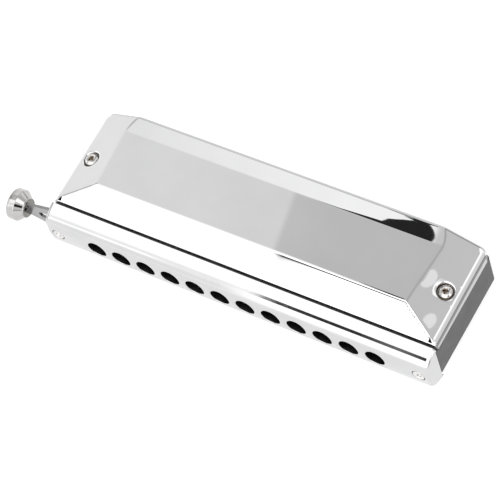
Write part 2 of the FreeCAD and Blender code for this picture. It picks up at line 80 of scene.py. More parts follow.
# Sizes of the covers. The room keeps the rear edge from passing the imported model's by a rounding.
cover_low, cover_high = measured("upper_cover")
cover_room = 0.001
body_half_length = cover_high.x
cover_front = cover_low.y
cover_rear = cover_high.y - cover_room
seam_height = cover_low.z
cover_sheet = 0.5
lip_height = 8.9
plateau_height = 14.25
front_slope_depth = 8.4
plateau_depth = 22.1
flare_rise = 1.25
flare_lead = 1.9
end_panel_length = 14.0
end_rim_rise = 0.65
plateau_front = cover_front + front_slope_depth
plateau_rear = plateau_front + plateau_depth
flare_start = plateau_rear - flare_lead
end_panel_tilt = end_rim_rise / plateau_depth
front_slope = (plateau_height - lip_height) / (plateau_front - cover_front)
end_panel_drop = plateau_height - lip_height - end_panel_tilt * (plateau_front - cover_front)
end_slope = end_panel_drop / end_panel_length
ridge_half_length = body_half_length - end_panel_length
flare_reach = cover_rear - flare_start
flare_radius = (flare_reach ** 2 + flare_rise ** 2) / (2 * flare_rise)
roll_slope = -0.28
front_corner = 0.8
rear_corner = 2.8
lip_round = 0.4
rim_round = 2.4
rim_flatness = 0.62
roll_round = 1.15
front_bend_softness = 0.35
ridge_softness = 0.18
sound_opening_half_length = 60.0
sound_opening_top = 13.65
sound_opening_corner = 4.0
relief_inset = 1.5
relief_setback = 0.3
relief_size = 1.5
relief_outer = body_half_length - relief_inset
relief_inner = relief_outer - relief_size
relief_near = cover_front + relief_setback
relief_far = relief_near + relief_size
sheet_edge_round = 0.18

# Sizes of the cover screws and the cups that they stand in
cup_x = 66.9
cup_y = -1.1
cup_radius = 2.9
cup_floor = 10.2
cup_rim_round = 0.6
cup_floor_round = 0.25
cup_wall_lean = 0.005
cup_rim = cup_radius + cup_rim_round
cup_reach = 4.2
screw_hole_radius = 1.15
cover_screw_radius = 1.0
cover_screw_head_radius = 2.25
cover_screw_crown_radius = 1.5
cover_screw_head = 1.5
cover_screw_brim = 0.75
cover_screw_depth = 8.86
cover_screw_cross = (1.25, 0.22, 0.8)

# Grid lines of the covers: their distances from the outline and from a cup's middle, and the
# steps between them elsewhere, small where the sheet bends
rim_steps = [0, 0.04, 0.12, 0.25, 0.42, 0.62, 0.85, 1.05, 1.2, 1.33, 1.46, 1.58, 1.7, 1.81, 1.92, 2.05]
lip_steps = rim_steps[:7]
roll_steps = rim_steps + [2.4, rear_corner]
cup_steps = [0, 0.55, screw_hole_radius, 1.7, 2.2, 2.65, 2.75, 2.83, 2.88, cup_radius,
             cup_radius + cup_wall_lean, 2.93, 3.0, 3.12, 3.28, cup_rim, 3.85, cup_reach]
flat_step = 2.5
ridge_start = 55.0
ridge_end = 62.5
ridge_step = 0.5
cup_step = 0.05
opening_step = 0.6
opening_edge = 0.06
slope_start = 1.2
slope_step = 0.42
bend_reach = 0.6
bend_step = 0.1
plateau_step = 1.6
rear_step = 1.7
flare_end = 2.9
flare_step = 0.6

# Sizes of the mouthpiece
mouthpiece_high = measured("mouthpiece")[1]
mouthpiece_half_length = mouthpiece_high.x
mouthpiece_half_height = mouthpiece_high.z
mouthpiece_back = mouthpiece_high.y
mouthpiece_depth = 6.4
mouthpiece_nose = mouthpiece_back - mouthpiece_depth
mouthpiece_lean = 0.9
mouthpiece_lap = 0.5
crown_tilt = 0.27
crown_end_height = 4.13
crown_fullness = 0.72
nose_radius = 30.0
back_edge_round = 0.2
mouthpiece_end_round = 1.0
recess_floor = -22.05
recess_half_height = 7.5
recess_end = 70.4
recess_end_lean = 0.01
hole_count = 12
hole_pitch = 9.6
bore_radius = 3.5
bore_mouth_round = 0.25
mouthpiece_screw_x = 68.4
screw_sink_radius = 2.35
screw_sink_round = 0.2
mouthpiece_screw_head_radius = 2.28
mouthpiece_screw_head = 1.2
mouthpiece_screw_radius = 1.0
mouthpiece_screw_top = -26.2
mouthpiece_screw_end = -12.05
mouthpiece_screw_cross = (1.2, 0.2, 0.7)

# Sizes of the knob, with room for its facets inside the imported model's box
knob_low, knob_high = measured("slide_knob")
knob_room = 0.01
knob_face = knob_low.x
knob_hub_end = knob_high.x
knob_radius = knob_high.z - knob_room
knob_line = (knob_low.y + knob_high.y) / 2
knob_rim = 3.0
knob_cone = 2.4
knob_hub_radius = 3.4
knob_dish = 0.25
knob_dish_radius = 1.2
stake_radius = 0.65
stake_depth = 1.0
stake_height = 1.4
stake_line = -22.48

# Sizes of the slide's hairpin spring
spring_low, spring_high = measured("slide_spring")
spring_strip = 0.4
spring_foot = -17.4
spring_edge_round = 0.06
spring_left = spring_low.x + spring_strip / 2
spring_right = spring_high.x - spring_strip / 2


# Mesh tools

def to_frame(point):
    """A point drawn in millimetres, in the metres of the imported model."""
    return Vector(point) * mm + Vector((0, 0, middle_height))


def object_from(name, bm, sharp_angle=35):
    """An object of the bmesh, smooth but for edges sharper than an angle in degrees."""
    bmesh.ops.recalc_face_normals(bm, faces=bm.faces)
    mesh = bpy.data.meshes.new(name)
    bm.to_mesh(mesh)
    bm.free()
    return finished(name, mesh, sharp_angle)


def finished(name, mesh, sharp_angle):
    """An object with smooth shading between sharp edges."""
    mesh.polygons.foreach_set("use_smooth", [True] * len(mesh.polygons))
    mesh.set_sharp_from_angle(angle=math.radians(sharp_angle))
    thing = bpy.data.objects.new(name, mesh)
    bpy.context.scene.collection.objects.link(thing)
    return thing


def with_modifiers_applied(thing, sharp_angle=35):
    """A new object that has the modifiers of the old one in its mesh. The old one goes."""
    name = thing.name
    graph = bpy.context.evaluated_depsgraph_get()
    mesh = bpy.data.meshes.new_from_object(thing.evaluated_get(graph))
    bpy.data.objects.remove(thing)
    return finished(name, mesh, sharp_angle)


def stepped(start, end, step):
    """Even steps from start to just before end, each about a step long."""
    count = max(1, round(abs(end - start) / step))
    return [start + (end - start) * index / count for index in range(count)]


def about(centre, distances):
    """Values on both sides of a centre."""
    return [centre - distance for distance in distances] + [centre + distance for distance in distances]


def tidy_levels(values, nearest=0.004):
    """Values in rising order, without those that all but repeat the one before."""
    levels = []
    for value in sorted(values):
        if not levels or value - levels[-1] > nearest:
            levels.append(value)
    return levels


def circled(across, up, radius, reach):
    """Bend the square rings of a grid about a centre into circles, easing off beyond radius."""
    ring = max(abs(across), abs(up))
    if ring == 0 or ring >= reach:
        return across, up
    to_circle = ring / math.hypot(across, up)
    ease = 0 if ring <= radius else (ring - radius) / (reach - radius)
    factor = to_circle + (1 - to_circle) * ease
    return across * factor, up * factor


def soft_min(first, second, softness):
    """The lower of two heights, with the crease between them eased over softness."""
    overlap = max(softness - abs(first - second), 0) / softness
    return min(first, second) - overlap * overlap * softness / 4


def quarter_drop(run, radius):
    """How far a quarter round has dropped, run being the way left to its vertical end."""
    if run >= radius:
        return 0
    run = max(run, 0)
    return radius - math.sqrt(radius ** 2 - (radius - run) ** 2)


def bend_drop(run, radius, slope):
    """How far a round between a vertical wall and a top of this slope lies under that top."""
    tangent = radius * (1 - slope / math.hypot(1, slope))
    if run >= tangent:
        return 0
    run = max(run, 0)
    centre = slope * radius - radius * math.hypot(1, slope)
    return slope * run - centre - math.sqrt(radius ** 2 - (radius - run) ** 2)


# Covers

def cover_top(x, y):
    """The height of the stamped sheet before its rims are bent down."""
    slope_height = plateau_height - (plateau_front - y) * front_slope
    middle = soft_min(plateau_height, slope_height, front_bend_softness)
    if y > flare_start:
        middle += flare_radius - math.sqrt(flare_radius ** 2 - (y - flare_start) ** 2)
    end = plateau_height + end_panel_tilt * (y - plateau_front) - end_slope * (abs(x) - ridge_half_length)
    return soft_min(middle, end, ridge_softness)


def cover_plan(x, y):
    """A grid point drawn in to the round corner of the cover, and the corner's turn and room."""
    corner = front_corner if y < 0 else rear_corner
    centre_x = body_half_length - corner
    centre_y = cover_front + corner if y < 0 else cover_rear - corner
    outward = -1 if y < 0 else 1
    over_x = abs(x) - centre_x
    over_y = (y - centre_y) * outward
    if over_x <= 0 or over_y <= 0:
        return x, y, None, None
    ring = max(over_x, over_y)
    turn = math.atan2(over_y, over_x)
    place_x = centre_x + ring * math.cos(turn)
    place_y = centre_y + outward * ring * math.sin(turn)
    return math.copysign(place_x, x), place_y, turn, corner - ring


def rim_drop(x, y, turn, room):
    """How far the bends round the cover's outline lower a point."""
    side_round = lip_round if y < 0 else roll_round
    side_slope = front_slope if y < 0 else roll_slope
    if turn is not None:
        share = turn / (math.pi / 2)
        radius = rim_round + (side_round - rim_round) * share
        slope = end_slope + (side_slope - end_slope) * share
        flatness = rim_flatness + (1 - rim_flatness) * share
        return bend_drop(room * flatness, radius, slope / flatness)
    side_room = y - cover_front if y < 0 else cover_rear - y
    side_drop = bend_drop(side_room, side_round, side_slope)
    end_room = (body_half_length - abs(x)) * rim_flatness
    end_drop = bend_drop(end_room, rim_round, end_slope / rim_flatness)
    return max(side_drop, end_drop)


def cup_height(distance, panel):
    """The height of a screw cup at a distance from its middle, in a panel of this height."""
    if distance >= cup_rim:
        return panel
    if distance > cup_radius:
        dropped = panel - quarter_drop(distance - cup_radius, cup_rim_round)
        return max(dropped, min(panel, cup_floor))
    if distance > cup_radius - cup_floor_round:
        return cup_floor + quarter_drop(cup_radius - distance, cup_floor_round)
    return cup_floor


def cover_point(x, y):
    """A point of the upper cover's outer face."""
    side = math.copysign(1, x)
    ring = max(abs(abs(x) - cup_x), abs(y - cup_y))
    across, up = circled(abs(x) - cup_x, y - cup_y, cup_rim, cup_reach)
    x = side * (cup_x + across)
    y = cup_y + up
    x, y, turn, room = cover_plan(x, y)
    height = cover_top(x, y) - rim_drop(x, y, turn, room)
    return x, y, cup_height(ring, height)


def skirt_foot(x, y):
    """How far down the sheet goes below a point of its outline."""
    if y < cover_rear - sheet_edge_round or abs(x) >= sound_opening_half_length:
        return seam_height
    inner = sound_opening_half_length - sound_opening_corner
    if abs(x) <= inner:
        return sound_opening_top
    rise = math.sqrt(max(sound_opening_corner ** 2 - (abs(x) - inner) ** 2, 0))
    return sound_opening_top - sound_opening_corner + rise


def cover_levels():
    """The grid lines along and across the cover, close together where it bends."""
    opening_start = sound_opening_half_length - sound_opening_corner
    half = stepped(0, ridge_start, flat_step)
    half += stepped(ridge_start, ridge_end, ridge_step)
    half += about(cup_x, cup_steps)
    half += stepped(cup_x + cup_rim, cup_x + cup_reach, cup_step)
    half += [body_half_length - step for step in rim_steps]
    half += [relief_inner, relief_outer]
    half += stepped(opening_start, sound_opening_half_length, opening_step)
    half += [sound_opening_half_length - opening_edge, sound_opening_half_length]
    columns = tidy_levels([-value for value in half] + half)
    across = [cover_front + step for step in lip_steps]
    across += [relief_near, relief_far]
    across += stepped(cover_front + slope_start, plateau_front - bend_reach, slope_step)
    across += stepped(plateau_front - bend_reach, plateau_front + bend_reach, bend_step)
    across += stepped(plateau_front + bend_reach, cup_y - cup_reach, plateau_step)
    across += about(cup_y, cup_steps)
    across += stepped(cup_y + cup_reach, flare_start, rear_step)
    across += stepped(flare_start, cover_rear - flare_end, flare_step)
    across += [cover_rear - step for step in roll_steps]
    return columns, tidy_levels(across)


def outline_keys(columns, rows):
    """The grid points round the outline, in order."""
    last_column = len(columns) - 1
    last_row = len(rows) - 1
    keys = [(i, 0) for i in range(last_column)]
    keys += [(last_column, j) for j in range(last_row)]
    keys += [(i, last_row) for i in range(last_column, 0, -1)]
    keys += [(0, j) for j in range(last_row, 0, -1)]
    return keys


def cut_relief(bm, side):
    """Cut the small three-cornered gap out of the sheet at one front corner."""
    low = Vector((side * relief_outer, relief_near, 0))
    high = Vector((side * relief_inner, relief_far, 0))
    outward = Vector((side * (relief_far - relief_near), relief_outer - relief_inner, 0))
    inside = []
    for face in bm.faces:
        centre = face.calc_center_median()
        if relief_inner < side * centre.x < relief_outer and relief_near < centre.y < relief_far:
            inside.append(face)
    parts = set(inside)
    for face in inside:
        parts.update(face.edges)
        parts.update(face.verts)
    cut = bmesh.ops.bisect_plane(bm, geom=list(parts), plane_co=low, plane_no=outward)
    gone = []
    for item in cut["geom"]:
        if isinstance(item, bmesh.types.BMFace):
            centre = item.calc_center_median()
            if (centre - high).dot(outward) < 0:
                gone.append(item)
    bmesh.ops.delete(bm, geom=gone, context="FACES")


def cover(name, lower):
    """One cover: a stamped sheet with bent rims, screw cups and an open rear."""
    columns, rows = cover_levels()
    bm = bmesh.new()
    verts = {}
    for i, x in enumerate(columns):
        for j, y in enumerate(rows):
            verts[i, j] = bm.verts.new(cover_point(x, y))
    for i in range(len(columns) - 1):
        for j in range(len(rows) - 1):
            across = abs((columns[i] + columns[i + 1]) / 2)
            along = (rows[j] + rows[j + 1]) / 2
            if max(abs(across - cup_x), abs(along - cup_y)) < screw_hole_radius:
                continue
            bm.faces.new((verts[i, j], verts[i + 1, j], verts[i + 1, j + 1], verts[i, j + 1]))
    keys = outline_keys(columns, rows)
    above = [verts[key] for key in keys]
    for share in (0.5, 1):
        below = []
        for key in keys:
            top = verts[key].co
            foot = skirt_foot(top.x, top.y)
            below.append(bm.verts.new((top.x, top.y, top.z + (foot - top.z) * share)))
        for index in range(len(keys)):
            following = (index + 1) % len(keys)
            bm.faces.new((above[index], below[index], below[following], above[following]))
        above = below
    cut_relief(bm, -1)
    cut_relief(bm, 1)
    for vert in bm.verts:
        if lower:
            vert.co.z = -vert.co.z
        vert.co = to_frame(vert.co)
    if lower:
        bmesh.ops.reverse_faces(bm, faces=bm.faces)
    mesh = bpy.data.meshes.new(name)
    bm.to_mesh(mesh)
    bm.free()
    sheet = finished(name, mesh, 60)
    wall = sheet.modifiers.new("wall", "SOLIDIFY")
    wall.thickness = cover_sheet * mm
    wall.offset = -1
    wall.use_even_offset = True
    edge = sheet.modifiers.new("edge", "BEVEL")
    edge.width = sheet_edge_round * mm
    edge.segments = 2
    edge.limit_method = "ANGLE"
    edge.angle_limit = math.radians(60)
    return with_modifiers_applied(sheet, 40)


# Mouthpiece

def nose(z):
    """The Y of the mouthpiece's front face at a height near its middle."""
    lean = mouthpiece_lean / mouthpiece_half_height
    tilt = math.atan(lean)
    if abs(z) < nose_radius * math.sin(tilt):
        crown = mouthpiece_nose + nose_radius * (1 / math.cos(tilt) - 1)
        return crown + nose_radius - math.sqrt(nose_radius ** 2 - z ** 2)
    return mouthpiece_nose + abs(z) * lean


def crown():
    """The four control points of the curve from the mouthpiece's back edge to its front."""
    lean = mouthpiece_lean / mouthpiece_half_height
    start = Vector((mouthpiece_back + mouthpiece_lap - back_edge_round, mouthpiece_half_height))
    end = Vector((nose(crown_end_height), crown_end_height))
    run = start.x - end.x
    tilt = math.tan(crown_tilt)
    rise = (start.y - end.y - run * tilt) / (1 - lean * tilt)
    corner = Vector((end.x + rise * lean, end.y + rise))
    return start, start.lerp(corner, crown_fullness), end.lerp(corner, crown_fullness), end


def front_levels():
    """The heights of the grid lines on the mouthpiece's front, to just past the mouths of the bores."""
    steps = [0, 0.9, 1.7, screw_sink_radius, 2.4, screw_sink_radius + screw_sink_round, 2.9, 3.25,
             bore_radius, 3.54, 3.62, 3.75, bore_radius + bore_mouth_round]
    return tidy_levels(about(0, steps))


def bores():
    """The middle, radius and mouth round of every opening in the mouthpiece's front."""
    openings = []
    for index in range(hole_count):
        openings.append(((index - (hole_count - 1) / 2) * hole_pitch, bore_radius, bore_mouth_round))
    for x in (-mouthpiece_screw_x, mouthpiece_screw_x):
        openings.append((x, screw_sink_radius, screw_sink_round))
    return openings


def nearest_bore(x):
    """The opening whose middle is nearest to x."""
    return min(bores(), key=lambda bore: abs(bore[0] - x))


def mouthpiece_columns():
    """The grid lines across the mouthpiece's length."""
    lines = []
    for middle, radius, mouth in bores():
        steps = [radius * share for share in (0, 0.26, 0.49, 0.69, 0.83, 0.93, 1)]
        steps += [radius + mouth * share for share in (0.09, 0.27, 0.55, 1)]
        lines += about(middle, steps)
    for index in range(hole_count + 1):
        lines.append((index - hole_count / 2) * hole_pitch)
    for step in (0, 0.03, 0.12, 0.3, 0.6, mouthpiece_end_round):
        lines += [mouthpiece_half_length - step, step - mouthpiece_half_length]
    lines += [recess_end, recess_end + recess_end_lean]
    return tidy_levels(lines)


def upper_profile():
    """From the recess round the back edge, over the crown to the front: points with normals."""
    back = mouthpiece_back + mouthpiece_lap
    points = [((back, recess_half_height), (0, 0))]
    for share in (0, 0.5, 1):
        turn = share * math.pi / 2
        y = back - back_edge_round * (1 - math.cos(turn))
        z = mouthpiece_half_height - back_edge_round * (1 - math.sin(turn))
        points.append(((y, z), (0, 1)))
    first, second, third, last = crown()
    steps = 16
    for step in range(1, steps + 1):
        share = step / steps
        rest = 1 - share
        point = first * rest ** 3 + second * (3 * rest ** 2 * share)
        point += third * (3 * rest * share ** 2) + last * share ** 3
        along = (second - first) * rest ** 2 + (third - second) * (2 * rest * share)
        along += (last - third) * share ** 2
        outward = Vector((along.y, -along.x)).normalized()
        points.append((tuple(point), tuple(outward)))
    return points


def mouthpiece_loop(x, levels, profile):
    """The closed line round the mouthpiece at x: its top, front, underside and recess."""
    middle, radius, mouth = nearest_bore(x)
    inset = quarter_drop(mouthpiece_half_length - abs(x), mouthpiece_end_round)
    loop = []
    for (y, z), (out_y, out_z) in profile:
        loop.append((x, y - out_y * inset, z - out_z * inset))
    for level in reversed(levels):
        across, up = circled(x - middle, level, radius + mouth, crown_end_height)
        ring = max(abs(x - middle), abs(level))
        sunk = quarter_drop(max(ring - radius, 0), mouth)
        loop.append((middle + across, nose(up) + sunk + inset, up))
    for (y, z), (out_y, out_z) in reversed(profile):
        loop.append((x, y - out_y * inset, out_z * inset - z))
    deep = recess_floor if x <= recess_end else mouthpiece_back
    loop.append((x, deep, -recess_half_height))
    for level in levels:
        across, up = circled(x - middle, level, radius, crown_end_height)
        loop.append((middle + across, deep, up))
    loop.append((x, deep, recess_half_height))
    return loop


def mouthpiece():
    """The D-shaped bar with its bores, screw seats and the slide's recess."""
    levels = front_levels()
    profile = upper_profile()
    columns = mouthpiece_columns()
    bm = bmesh.new()
    loops = []
    for x in columns:
        loops.append([bm.verts.new(to_frame(point)) for point in mouthpiece_loop(x, levels, profile)])
    size = len(loops[0])
    front_start = len(profile)
    front_end = front_start + len(levels) - 1
    floor_start = front_end + len(profile) + 2
    floor_end = floor_start + len(levels) - 1

    def opens(i, low):
        """Whether the quad right of a column and above a level lies inside an opening."""
        if low < 0 or low + 1 >= len(levels):
            return False
        x = (columns[i] + columns[i + 1]) / 2
        middle, radius = nearest_bore(x)[:2]
        return max(abs(x - middle), abs(levels[low] + levels[low + 1]) / 2) < radius

    def left_open(i, k):
        """Whether the quad right of a column and after a loop's point lies inside an opening."""
        if front_start <= k < front_end:
            return opens(i, front_end - 1 - k)
        return floor_start <= k < floor_end and opens(i, k - floor_start)

    def wall(first, second):
        """A quad of an opening's wall, between two grid points of the front and of the floor."""
        ends = [loops[i][front_end - low] for i, low in (first, second)]
        feet = [loops[i][floor_start + low] for i, low in (second, first)]
        bm.faces.new(ends + feet).material_index = 1

    for i in range(len(columns) - 1):
        for k in range(size):
            following = (k + 1) % size
            if not left_open(i, k):
                bm.faces.new((loops[i][k], loops[i][following], loops[i + 1][following], loops[i + 1][k]))
    for i in range(len(columns) - 1):
        for low in range(len(levels) - 1):
            if not opens(i, low):
                continue
            if not opens(i, low - 1):
                wall((i, low), (i + 1, low))
            if not opens(i, low + 1):
                wall((i + 1, low + 1), (i, low + 1))
            if not opens(i - 1, low):
                wall((i, low + 1), (i, low))
            if not opens(i + 1, low):
                wall((i + 1, low), (i + 1, low + 1))
    bm.faces.new(loops[0])
    bm.faces.new(reversed(loops[-1]))
    return object_from("mouthpiece_bar", bm)


# Turned pieces

def rounded_profile(points, radii, steps=5):
    """An open outline in a plane, with each inner corner turned on its radius."""
    outline = [Vector(points[0])]
    for index in range(1, len(points) - 1):
        corner = Vector(points[index])
        before = (Vector(points[index - 1]) - corner).normalized()
        after = (Vector(points[index + 1]) - corner).normalized()
        half_turn = (math.pi - before.angle(after)) / 2
        reach = radii[index] * math.tan(half_turn)
        if reach == 0:
            outline.append(corner)
            continue
        start = corner + before * reach
        end = corner + after * reach
        centre = corner + (before + after).normalized() * (radii[index] / math.cos(half_turn))
        for step in range(steps + 1):
            share = step / steps
            spoke = ((start - centre) * (1 - share) + (end - centre) * share).normalized()
            outline.append(centre + spoke * radii[index])
    outline.append(Vector(points[-1]))
    return outline


def turned(bm, outline, origin, along, across, segments):
    """Turn an outline of (distance, radius) points about a line through origin."""
    side = along.cross(across)
    rings = []
    for distance, radius in outline:
        foot = origin + along * distance
        if radius < 1e-6:
            rings.append([bm.verts.new(to_frame(foot))])
            continue
        ring = []
        for step in range(segments):
            turn = 2 * math.pi * step / segments
            spoke = across * math.cos(turn) + side * math.sin(turn)
            ring.append(bm.verts.new(to_frame(foot + spoke * radius)))
        rings.append(ring)
    for near, far in zip(rings, rings[1:]):
        for step in range(segments):
            following = (step + 1) % segments
            if len(near) == 1:
                bm.faces.new((near[0], far[step], far[following]))
            elif len(far) == 1:
                bm.faces.new((near[step], far[0], near[following]))
            else:
                bm.faces.new((near[step], far[step], far[following], near[following]))


def cut_from(thing, cutter, sharp_angle):
    """The first object less the second."""
    cut = thing.modifiers.new("cut", "BOOLEAN")
    cut.object = cutter
    cut.solver = "EXACT"
    result = with_modifiers_applied(thing, sharp_angle)
    bpy.data.objects.remove(cutter)
    return result


def knob():
    """The turned knob with its cone, hub and stake mark."""
    hub = knob_hub_end - knob_face
    hub_start = knob_rim + knob_cone
    points = [(0, 0), (knob_dish, knob_dish_radius), (0, knob_radius), (knob_rim, knob_radius),
              (hub_start, knob_hub_radius), (hub, knob_hub_radius), (hub, 0)]
    radii = [0, 6, 0.55, 0.4, 0.3, 0.15, 0]
    bm = bmesh.new()
    origin = Vector((knob_face, knob_line, 0))
    turned(bm, rounded_profile(points, radii), origin, Vector((1, 0, 0)), Vector((0, 0, 1)), 96)
    button = object_from("knob_button", bm)
    pit = bmesh.new()
    stake = [(-stake_depth, 0), (-stake_depth, stake_radius), (stake_depth, stake_radius), (stake_depth, 0)]
    place = Vector((knob_hub_end, stake_line, stake_height))
    turned(pit, stake, place, Vector((1, 0, 0)), Vector((0, 0, 1)), 32)
    return cut_from(button, object_from("stake_cutter", pit), 35)


def slide_spring():
    """A hairpin of flat strip: a leg against the comb, a half turn, and a leg into the slide."""
    bend = (spring_right - spring_left) / 2
    turn_y = spring_high.y - spring_strip / 2 - bend
    stations = [((spring_left, spring_foot), (-1, 0)), ((spring_left, turn_y), (-1, 0))]
    steps = 24
    for step in range(1, steps):
        turn = math.pi * (1 - step / steps)
        outward = Vector((math.cos(turn), math.sin(turn)))
        place = Vector((spring_left + bend, turn_y)) + outward * bend
        stations.append((tuple(place), tuple(outward)))
    stations += [((spring_right, turn_y), (1, 0)), ((spring_right, spring_low.y), (1, 0))]
    section = []
    wide = spring_strip / 2
    high = (spring_high.z - spring_low.z) / 2
    for side, rise in ((1, 1), (1, -1), (-1, -1), (-1, 1)):
        flat = (side * (wide - spring_edge_round), rise * high)
        upright = (side * wide, rise * (high - spring_edge_round))
        section += [flat, upright] if side == rise else [upright, flat]
    middle = (spring_high.z + spring_low.z) / 2
    bm = bmesh.new()
    loops = []
    for (x, y), (out_x, out_y) in stations:
        loop = [(x + out_x * across, y + out_y * across, middle + up) for across, up in section]
        loops.append([bm.verts.new(to_frame(point)) for point in loop])
    for near, far in zip(loops, loops[1:]):
        for index in range(len(section)):
            following = (index + 1) % len(section)
            bm.faces.new((near[index], near[following], far[following], far[index]))
    bm.faces.new(loops[0])
    bm.faces.new(reversed(loops[-1]))
    return object_from("hairpin_strip", bm)


def cross_arm(top, inward, first, second, cross):
    """A cutter for one arm of a cross recess, narrowing towards its foot."""
    half_length, half_width, depth = cross
    lead = 0.3
    mouth = (-lead, half_length * 1.15, half_width * 1.15)
    foot = (depth, half_length * 0.4, half_width * 0.7)
    bm = bmesh.new()
    rings = []
    for level, reach, wide in (mouth, foot):
        ring = []
        for a, b in ((-1, -1), (1, -1), (1, 1), (-1, 1)):
            point = top + inward * level + first * (a * reach) + second * (b * wide)
            ring.append(bm.verts.new(to_frame(point)))
        rings.append(ring)
    near, far = rings
    bm.faces.new(near)
    bm.faces.new(list(reversed(far)))
    for index in range(4):
        following = (index + 1) % 4
        bm.faces.new((near[following], near[index], far[index], far[following]))
    return object_from("cross_cutter", bm)


def screws(name, seats, inward_of, profile, cross, turn):
    """A group of like screws, each with a cross recess in its head."""
    level = Vector((1, 0, 0))
    turn_step = 0.9
    joined = bmesh.new()
    for number, seat in enumerate(seats):
        inward = inward_of(seat)
        angle = turn + number * turn_step
        across = level * math.cos(angle) + inward.cross(level) * math.sin(angle)
        bm = bmesh.new()
        turned(bm, profile, seat, inward, level, 48)
        body = object_from(name + "_" + str(number), bm)
        top = seat + inward * profile[0][0]
        for first, second in ((across, inward.cross(across)), (inward.cross(across), across)):
            body = cut_from(body, cross_arm(top, inward, first, second, cross), 35)
        joined.from_mesh(body.data)
        bpy.data.objects.remove(body)
    return object_from(name, joined)


def cover_screws():
    """Two domed screws in each cover."""
    points = [(-cover_screw_head, 0), (-cover_screw_head, cover_screw_crown_radius),
              (-cover_screw_brim, cover_screw_head_radius), (0, cover_screw_head_radius),
              (0, cover_screw_radius), (cover_screw_depth, cover_screw_radius), (cover_screw_depth, 0)]
    profile = rounded_profile(points, [0, 1.2, 0.6, 0.1, 0.05, 0.3, 0])
    seats = []
    for side in (1, -1):
        for x in (-cup_x, cup_x):
            seats.append(Vector((x, cup_y, side * cup_floor)))

    def inward_of(seat):
        return Vector((0, 0, -math.copysign(1, seat.z)))

    return screws("cover_screw_set", seats, inward_of, profile, cover_screw_cross, 0.4)


def mouthpiece_screws():
    """Two countersunk screws in the mouthpiece's front."""
    length = mouthpiece_screw_end - mouthpiece_screw_top
    points = [(0, 0), (0, mouthpiece_screw_head_radius), (mouthpiece_screw_head, mouthpiece_screw_radius),
              (length, mouthpiece_screw_radius), (length, 0)]
    profile = rounded_profile(points, [0, 0.12, 0.3, 0.3, 0])
    seats = [Vector((x, mouthpiece_screw_top, 0)) for x in (-mouthpiece_screw_x, mouthpiece_screw_x)]

    def inward_of(seat):
        return Vector((0, 1, 0))

    return screws("mouthpiece_screw_set", seats, inward_of, profile, mouthpiece_screw_cross, 0.6)


# Materials

def shader_node(tree, kind, inputs, **settings):
    """A new node in a tree, with its settings made and each input linked or given its value."""
    node = tree.nodes.new("ShaderNode" + kind)
    for name, value in settings.items():
        setattr(node, name, value)
    for socket, value in inputs.items():
        if isinstance(value, bpy.types.NodeSocket):
            tree.links.new(value, node.inputs[socket])
        else:
            node.inputs[socket].default_value = value
    return node


def new_material(name):
    """A new material, its node tree and its one shader."""
    material = bpy.data.materials.new(name)
    material.use_nodes = True
    tree = material.node_tree
    return material, tree, tree.nodes["Principled BSDF"]


def object_coordinates(tree, scale=(1, 1, 1)):
    """Object-space coordinates, stretched by scale along each axis."""
    place = shader_node(tree, "TexCoord", {})
    stretch = shader_node(tree, "Mapping", {"Vector": place.outputs["Object"], "Scale": scale})
    return stretch.outputs["Vector"]


def noise(tree, vector, scale, detail=4.0):
    """A noise value between 0 and 1."""
    inputs = {"Vector": vector, "Scale": scale, "Detail": detail, "Roughness": 0.5}
    return shader_node(tree, "TexNoise", inputs).outputs["Fac"]


def ramp(tree, value, stops):
    """A colour that goes through the stops, each a place from 0 to 1 and a colour or a grey level."""
    blend = shader_node(tree, "ValToRGB", {"Fac": value})
    marks = blend.color_ramp.elements
    for index, (position, colour) in enumerate(stops):
        mark = marks[index] if index < 2 else marks.new(position)
        mark.position = position
        mark.color = colour if isinstance(colour, tuple) else (colour, colour, colour, 1)
    return blend.outputs["Color"]


def bump(tree, shader, height, strength, distance):
    """A bump from a height value."""
    node = shader_node(tree, "Bump", {"Height": height, "Strength": strength, "Distance": distance})
    tree.links.new(node.outputs["Normal"], shader.inputs["Normal"])


def spot(tree, colour, centre, axes, radius, shade):
    """A colour that turns to shade within a radius of centre, measured along the axes that are 1."""
    edge_share = 0.93
    place = [value * axis for value, axis in zip(to_frame(centre), axes)]
    inputs = {0: object_coordinates(tree, axes), 1: place}
    distance = shader_node(tree, "VectorMath", inputs, operation="DISTANCE").outputs["Value"]
    inputs = {"Value": distance, "From Min": radius * mm, "From Max": radius * edge_share * mm}
    edge = shader_node(tree, "MapRange", inputs, interpolation_type="SMOOTHSTEP")
    inputs = {0: edge.outputs["Result"], 6: colour, 7: shade}
    return shader_node(tree, "Mix", inputs, data_type="RGBA").outputs[2]


def shaded(tree, colour, axis, both_ends, start, end, stops):
    """A colour darkened by the stops from start to end along an axis, or along both ways from its 0."""
    distance = shader_node(tree, "SeparateXYZ", {"Vector": object_coordinates(tree)}).outputs[axis]
    if both_ends:
        distance = shader_node(tree, "Math", {0: distance}, operation="ABSOLUTE").outputs["Value"]
    inputs = {"Value": distance, "From Min": start * mm, "From Max": end * mm}
    share = shader_node(tree, "MapRange", inputs).outputs["Result"]
    inputs = {0: 1, 6: colour, 7: ramp(tree, share, stops)}
    return shader_node(tree, "Mix", inputs, data_type="RGBA", blend_type="MULTIPLY").outputs[2]


